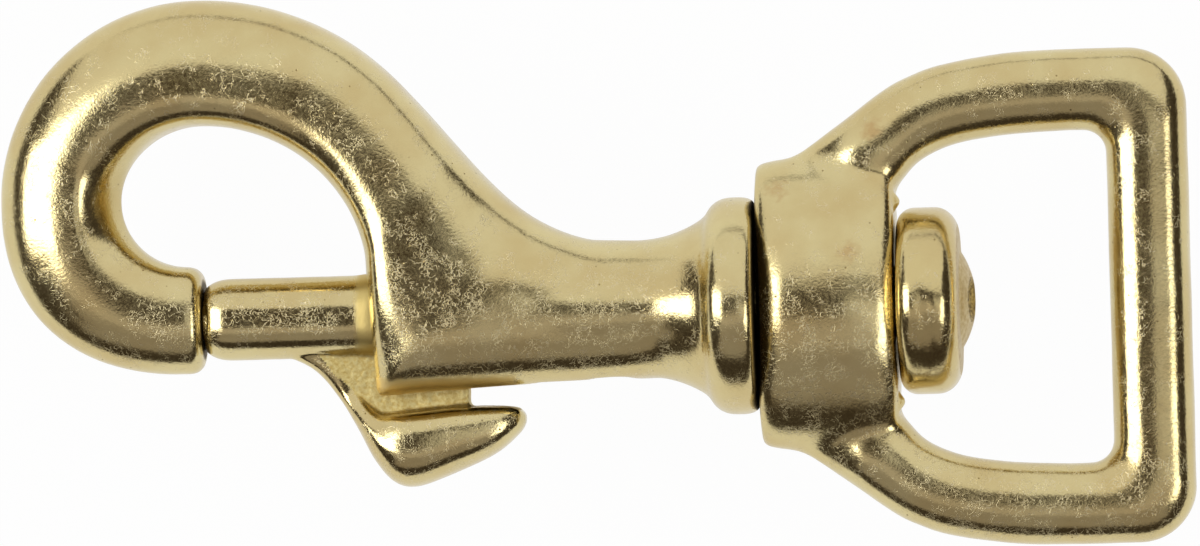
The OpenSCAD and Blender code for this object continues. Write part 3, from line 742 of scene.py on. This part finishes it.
def makeBolt():
    rear, webTop, webLow = bolt["rearX"], bolt["webTop"], bolt["lugTop"] - bolt["webIn"]
    noseR, noseRun, noseDrop = bolt["noseR"], bolt["noseRun"], bolt["noseDrop"]
    guideX = mouthX - bolt["guideStart"]
    rod = turnOnLathe("boltRod", [
        (bolt["noseX"], 0),
        *ovalPoints((bolt["noseX"] + noseRun, noseR - noseDrop), noseRun, noseDrop, 180, 90),
        (guideX, noseR), (guideX + bolt["guideRun"], bolt["guideR"]), (rear, bolt["guideR"]), (rear, 0)])
    web = traceProfile("boltWeb", [
        (mouthX - 4.5, webTop), (mouthX - 3.4, -3.2), (mouthX - 2, -5.1), (bolt["lugFrontX"], webLow),
        (rear, webLow), (rear, webTop)])
    bpy.ops.mesh.edge_face_add()
    bpy.ops.object.mode_set(mode="OBJECT")
    applyModifier(web, "SOLIDIFY", thickness=bolt["webThick"] * mm, offset=0)
    makeActive(web)
    bpy.ops.object.mode_set(mode="EDIT")
    finishShell()
    lug = loftRings("thumbLug", [crossSection(rung) for rung in throughRungs(lugRungs())])
    piece = castInOne("springBolt", [rod, web, lug], bolt["voxel"], bolt["passes"])
    pushSkin(piece, -bolt["wornDepth"], onWornTop)
    roughen(piece, *bolt["sand"], weighPlaces(piece, "web", onWeb))
    roughen(piece, *bolt["wave"])
    for face in piece.data.polygons:    # second slot for the matt web
        face.material_index = 1 if onWeb(face.center / mm, face.normal) > 0.3 else 0
    return piece


springBolt = makeBolt()
seatPiece(springBolt, "bolt", "spring_bolt", "bolt_brass", boltBrass, webBrass)


# eye: boss with the two bars and the strap bar

eye = {    # mm
    "slotHalf": 10.3, "barWidth": 5.05, "barThick": 4.8, "barSquare": 2.4, "barCrest": 0.5,
    "outerCorner": 3.6, "innerCorner": 1.4, "cornerSteps": 16, "straightRun": 1.6,
    "strapCrest": 0.53,    # the strap bar is thickest towards its rear
    "bossFront": seatX + 0.1, "bossRear": -13.2, "bossR": 9.1, "bossThick": 10.0, "bossSquare": 1.95,
    "frontRun": 2.6, "rearRun": 3.2, "bossDrop": 1.2, "sideDrop": 0.4,    # rounding of the boss's edges
    "bore": 4.4, "borePast": 1, "voxel": 0.18, "passes": 6,
    "flashPlace": (6.2, 1.6), "flashReach": 0.8, "flashHeight": 0.4,
    "wave": (4.0, 0.06),    # across and high
}


def eyeRungs():
    inner, outer = eye["slotHalf"], eye["slotHalf"] + eye["barWidth"]
    front, rear, bossR = eye["bossFront"], eye["bossRear"], eye["bossR"]
    thick, square = eye["barThick"], eye["barSquare"]
    innerCorner, outerCorner = eye["innerCorner"], eye["outerCorner"]
    straight = -innerCorner - eye["straightRun"]

    def widen(share):
        return mix(bossR, outer, share)

    def corner(a):
        return (onOval((-innerCorner, inner - innerCorner), innerCorner, innerCorner, a),
                onOval((eye["barWidth"] - outerCorner, outer - outerCorner), outerCorner, outerCorner, a),
                thick, square, square, mix(eye["strapCrest"], eye["barCrest"], a / 90))

    rows = [    # inner point, outer point and thickness, from inside the boss to the strap bar's corner
        ((front + 2.2, bossR - 4.5), (front + 1.9, bossR - 0.1), 0.35 * thick),
        ((front + 3.9, bossR - 3.6), (front + 3.5, widen(0.14)), 0.6 * thick),
        ((rear - 1.2, bossR - 2.7), (front + 5.2, widen(0.32)), thick),
        ((rear + 0.5, inner - 2.9), (front + 8, widen(0.64)), thick),
        ((rear + 1.4, inner - 1.8), (front + 9.6, widen(0.77)), thick),
        ((rear + 3.5, inner - 0.75), (front + 11.6, widen(0.88)), thick),
        ((rear * 0.5, inner - 0.2), (rear * 0.48, outer - 0.15), thick),
        ((straight, inner), (straight, outer), thick)]
    upper = throughRungs([(*row, square, square, eye["barCrest"]) for row in rows] + [corner(90)])
    steps = eye["cornerSteps"]
    upper += [corner(90 - 90 * k / steps) for k in range(1, steps + 1)]
    lower = [((a[0], -a[1]), (b[0], -b[1]), *rest) for a, b, *rest in reversed(upper)]
    return upper + lower[1:]


def bossRings(steps=8, count=64):
    front, rear = eye["bossFront"], eye["bossRear"]
    turns = [math.radians(90 * k / steps) for k in range(steps + 1)]
    ends = [(front + eye["frontRun"] * (1 - math.sin(turn)), turn) for turn in reversed(turns)]
    ends += [(rear - eye["rearRun"] * (1 - math.sin(turn)), turn) for turn in turns]
    rings = []
    for x, turn in ends:
        inset = eye["bossDrop"] * (1 - math.cos(turn))
        ry, rz = eye["bossR"] - eye["sideDrop"] * inset, eye["bossThick"] / 2 - inset
        rings.append([(x, *onOval((0, 0), ry, rz, 360 * i / count, eye["bossSquare"])) for i in range(count)])
    return rings


def makeEye():
    front, rear, bossR = eye["bossFront"], eye["bossRear"], eye["bossR"]
    bars = loftRings("eyeBars", [crossSection(rung, 40) for rung in eyeRungs()])
    boss = loftRings("eyeBoss", bossRings())
    bore = addRod(front - eye["borePast"], rear + eye["borePast"], eye["bore"])
    cutAway(bars, bore)
    cutAway(boss, bore)
    discard(bore)
    piece = castInOne("swivelEye", [bars, boss], eye["voxel"], eye["passes"])
    flashY, flashZ = eye["flashPlace"]
    for side in (1, -1):
        for passes, x, y, reach in (    # bars run softly into the boss
                (50, rear - 2, bossR + 0.6, 6.5), (90, rear - 3, bossR - 1, 7),
                (60, rear + 0.6, bossR - 0.5, 3), (60, front + 2.2, bossR - 0.3, 4.5)):
            soften(piece, passes, nearPoint((x, side * y, 0), reach))
        speck = nearPoint((rear, side * flashY, flashZ), eye["flashReach"])    # of casting flash
        pushSkin(piece, eye["flashHeight"], speck)
    roughen(piece, *eye["wave"])
    return piece


swivelEye = makeEye()
seatPiece(swivelEye, "eye", "swivel_eye", "eye_brass", eyeBrass)


# rivet: shank, tail in the barrel, and the upset head with its punched dimple

rivet = {    # mm
    "tailX": hook["collarFrontX"] - 1.2, "tailR": 2.5, "shankR": 2.1,
    "headX": eye["bossRear"] + 0.1, "headR": 5.8, "headThick": 3.85, "headRound": 1.1,
    "brimRun": 1.5, "brimDrop": 1.7, "domeR": 3.1, "domeHeight": 0.95,
    "dimpleR": 1.55, "dimpleDepth": 0.6, "dimpleRise": 0.7,
    "foldX": 1.7, "foldSlope": 0.12, "foldHalf": 0.75, "foldDepth": 0.13,
    "foldTop": 1.4, "foldTopFade": 2.5, "foldLow": -5, "foldLowFade": 2, "foldFrontZ": 1.5,
    "voxel": 0.12, "passes": 5,
    "pocks": (0.45, 0.14), "wave": (2.5, 0.05),    # across and high
}


def onFold(place, normal):    # shallow groove that upsetting left along the head's edge
    across = abs(place.x - rivet["headX"] - rivet["foldX"] + rivet["foldSlope"] * place.y) / rivet["foldHalf"]
    along = (clamp((rivet["foldTop"] - place.y) / rivet["foldTopFade"])
             * clamp((place.y - rivet["foldLow"]) / rivet["foldLowFade"]))
    return ease(max(0, 1 - across)) * along if place.z > rivet["foldFrontZ"] else 0


def ballRadius(rimR, height):    # of the ball that a dome or a dimple is cut from
    return (rimR ** 2 + height ** 2) / (2 * height)


def makeRivet():
    headX, headR, headRound = rivet["headX"], rivet["headR"], rivet["headRound"]
    tailX, tailR, shoulderX = rivet["tailX"], rivet["tailR"], hook["collarFrontX"]
    brimRun, brimDrop = rivet["brimRun"], rivet["brimDrop"]
    domeX = headX + rivet["headThick"]
    ball = ballRadius(rivet["domeR"], rivet["domeHeight"])
    domeCentre = domeX + rivet["domeHeight"] - ball
    head = turnOnLathe("rivetHead", [
        (tailX, 0), (tailX, tailR), (shoulderX, tailR), (shoulderX, rivet["shankR"]), (headX, rivet["shankR"]),
        *ovalPoints((headX + headRound, headR - headRound), headRound, headRound, 180, 90, 8),
        *ovalPoints((domeX - brimRun, headR - brimDrop), brimRun, brimDrop, 90, 0),
        *ovalPoints((domeCentre, 0), ball, ball, math.degrees(math.asin(rivet["domeR"] / ball)), 0, 14)])
    punch = ballRadius(rivet["dimpleR"], rivet["dimpleDepth"])
    lean = math.asin(rivet["dimpleRise"] / ball)
    reach = ball + punch - rivet["dimpleDepth"]
    deselectAll()
    bpy.ops.mesh.primitive_uv_sphere_add(segments=64, ring_count=32, radius=punch * mm, location=(
        (domeCentre + reach * math.cos(lean)) * mm, 0, reach * math.sin(lean) * mm))
    dimple = bpy.context.object
    cutAway(head, dimple)
    discard(dimple)
    piece = castInOne("swivelRivet", [head], rivet["voxel"], rivet["passes"])
    spot = (domeX + rivet["domeHeight"] - 0.5, 0, rivet["dimpleRise"])
    pocked = weighPlaces(piece, "pocked", nearPoint(spot, rivet["dimpleR"] * 1.1))
    roughen(piece, *rivet["pocks"], pocked)    # the punch left a rough floor
    pushSkin(piece, -rivet["foldDepth"], onFold)
    roughen(piece, *rivet["wave"])
    for face in piece.data.polygons:    # second slot for the punched floor, darkened with dirt and painted shade, third for the satin dome
        away = (face.center / mm - Vector(spot)).length
        onDome = face.center.x > (domeX - 0.1) * mm
        face.material_index = 0 if not onDome else 1 if away < rivet["dimpleR"] * 0.93 else 2
    return piece


swivelRivet = makeRivet()
seatPiece(swivelRivet, "hook", "swivel_rivet", "rivet_brass", rivetBrass, dimpleDirtAndShade, domeBrass)


# spring: one wound wire with closed end coils, inside the barrel

spring = {    # mm
    "wire": 0.5, "outer": 4.5, "openCoils": 5, "pointsPerCoil": 40,
    "fromX": bolt["rearX"] + 0.3, "toX": rivet["tailX"] - 0.3,
}


def makeSpring():
    wire, fromX, toX = spring["wire"], spring["fromX"], spring["toX"]
    turns = spring["openCoils"] + 2
    radius = (spring["outer"] - wire) / 2
    curve = bpy.data.curves.new("coilSpring", "CURVE")
    curve.dimensions = "3D"
    curve.bevel_depth = wire / 2 * mm
    curve.bevel_resolution = 4
    curve.use_fill_caps = True
    wound = curve.splines.new("POLY")
    count = turns * spring["pointsPerCoil"]
    wound.points.add(count)
    for k in range(count + 1):
        t = k * turns / count
        if t < 1:
            x = fromX + t * wire
        elif t > turns - 1:
            x = toX - (turns - t) * wire
        else:
            x = mix(fromX + wire, toX - wire, (t - 1) / spring["openCoils"])
        a = 2 * math.pi * t
        wound.points[k].co = (x * mm, radius * math.cos(a) * mm, radius * math.sin(a) * mm, 1)
    piece = bpy.data.objects.new("coilSpring", curve)
    bpy.context.collection.objects.link(piece)
    makeActive(piece)
    bpy.ops.object.convert(target="MESH")
    piece = bpy.context.object
    bpy.ops.object.mode_set(mode="EDIT")
    finishShell()
    return piece


coilSpring = makeSpring()
seatPiece(coilSpring, "hook", "coil_spring", "spring_steel", wireSteel)
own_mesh(coilSpring)


# floor, lights and camera

view = {
    "tilt": 4.5,    # degrees that the axis slopes, as it does with the collar and the hook laid down
    "roll": 1.6,    # degrees that the axis climbs to the right
    "aim": (-31.66, 2.28, 0.0),
    "distance": 560,    # mm
    "width": 74.7,    # mm across the picture at the axis
    "sensor": 36,
}
tilt = math.radians(view["tilt"])
upWay = Vector((math.sin(tilt), 0, math.cos(tilt)))    # square to the floor

paper = {
    "size": 3000,    # mm
    "drop": 15.2,    # mm from the axis to the paper: the eye can swing round above it
    "tone": "#f4f4f2",
    "roughness": 0.9,
    "gloss": 0.1,
    "seen": 0.97,    # how far the camera sees plain white, the rest shows the paper with its shadow
    "mirrored": 0.69,    # and how far the brass does
}


def layPaper():
    deselectAll()
    bpy.ops.mesh.primitive_plane_add(size=paper["size"] * mm, rotation=(0, tilt, 0),
                                     location=Vector((seatX * mm, 0, 0)) - upWay * paper["drop"] * mm)
    floor = bpy.context.object
    floor.name = "paperFloor"
    material = bpy.data.materials.new("whitePaper")    # matt white sheet that stays white behind the part
    material.use_nodes = True
    tree = material.node_tree
    sheet = tree.nodes["Principled BSDF"]
    sheet.inputs["Base Color"].default_value = toLinear(paper["tone"])
    sheet.inputs["Roughness"].default_value = paper["roughness"]
    sheet.inputs["Specular IOR Level"].default_value = paper["gloss"]
    path = addNode(tree, "ShaderNodeLightPath").node.outputs
    mirrored = addNode(tree, "ShaderNodeMath", {0: path["Is Glossy Ray"], 1: path["Is Transmission Ray"]},
                       operation="MAXIMUM")
    mirrored = addNode(tree, "ShaderNodeMath", {0: mirrored, 1: paper["mirrored"]}, operation="MULTIPLY")
    seen = addNode(tree, "ShaderNodeMath", {0: path["Is Camera Ray"], 1: paper["seen"]}, operation="MULTIPLY")
    share = addNode(tree, "ShaderNodeMath", {0: seen, 1: mirrored}, operation="MAXIMUM")
    white = addNode(tree, "ShaderNodeEmission", {"Color": toLinear("#ffffff"), "Strength": 1.0})
    both = addNode(tree, "ShaderNodeMixShader", {0: share, 1: sheet.outputs["BSDF"], 2: white})
    tree.links.new(both, tree.nodes["Material Output"].inputs["Surface"])
    floor.data.materials.append(material)


lamps = {    # place in mm, size in mm, brightness as seen in a mirror, tint
    "bigSheet": ((-30, 535, 465), (1700, 1110), 0.82, "#ffffff"),
    "ceilingNear": ((-30, -155, 665), (900, 165), 0.45, "#fff7f4"),
    "ceilingFar": ((-30, -340, 590), (900, 250), 0.26, "#fff7f4"),
    "frontWall": ((-30, -514, 459), (1100, 200), 0.27, "#fff7f4"),
    "leftBox": ((-525, 25, 495), (260, 470), 5.0, "#ffffff"),
    "rightStrip": ((200, -20, 650), (120, 420), 0.6, "#ffffff"),
    "rightBox": ((473, -130, 474), (300, 230), 3.2, "#ffffff"),
}


def hangLamp(name, place, size, brightness, tint):
    lamp = bpy.data.lights.new(name, "AREA")
    lamp.shape = "RECTANGLE"
    lamp.size, lamp.size_y = size[0] * mm, size[1] * mm
    lamp.energy = math.pi * lamp.size * lamp.size_y * brightness
    lamp.color = toLinear(tint)[:3]
    box = bpy.data.objects.new(name, lamp)
    bpy.context.collection.objects.link(box)
    box.location = Vector(place) * mm
    box.rotation_euler = (Vector(view["aim"]) * mm - box.location).to_track_quat("-Z", "Y").to_euler()


def setCamera():
    lens = bpy.data.cameras.new("camera")
    lens.sensor_width = view["sensor"]
    lens.lens = view["sensor"] * view["distance"] / view["width"]
    lens.clip_start, lens.clip_end = 0.01, 10
    camera = bpy.data.objects.new("camera", lens)
    bpy.context.collection.objects.link(camera)
    right = Vector((0, 1, 0)).cross(upWay)
    right.rotate(Matrix.Rotation(-math.radians(view["roll"]), 3, upWay))
    place = Matrix((right, upWay.cross(right), upWay)).transposed().to_4x4()
    place.translation = (Vector(view["aim"]) + upWay * view["distance"]) * mm
    camera.matrix_world = place
    bpy.context.scene.camera = camera


layPaper()
for lampName, settings in lamps.items():
    hangLamp(lampName, *settings)
setCamera()

world = bpy.data.worlds.new("darkRoom")
world.use_nodes = True
bpy.context.scene.world = world
world.node_tree.nodes["Background"].inputs["Color"].default_value = toLinear("#3e3730")
world.node_tree.nodes["Background"].inputs["Strength"].default_value = 1.0

bpy.context.scene.view_settings.view_transform = "Standard"
print("stage set")
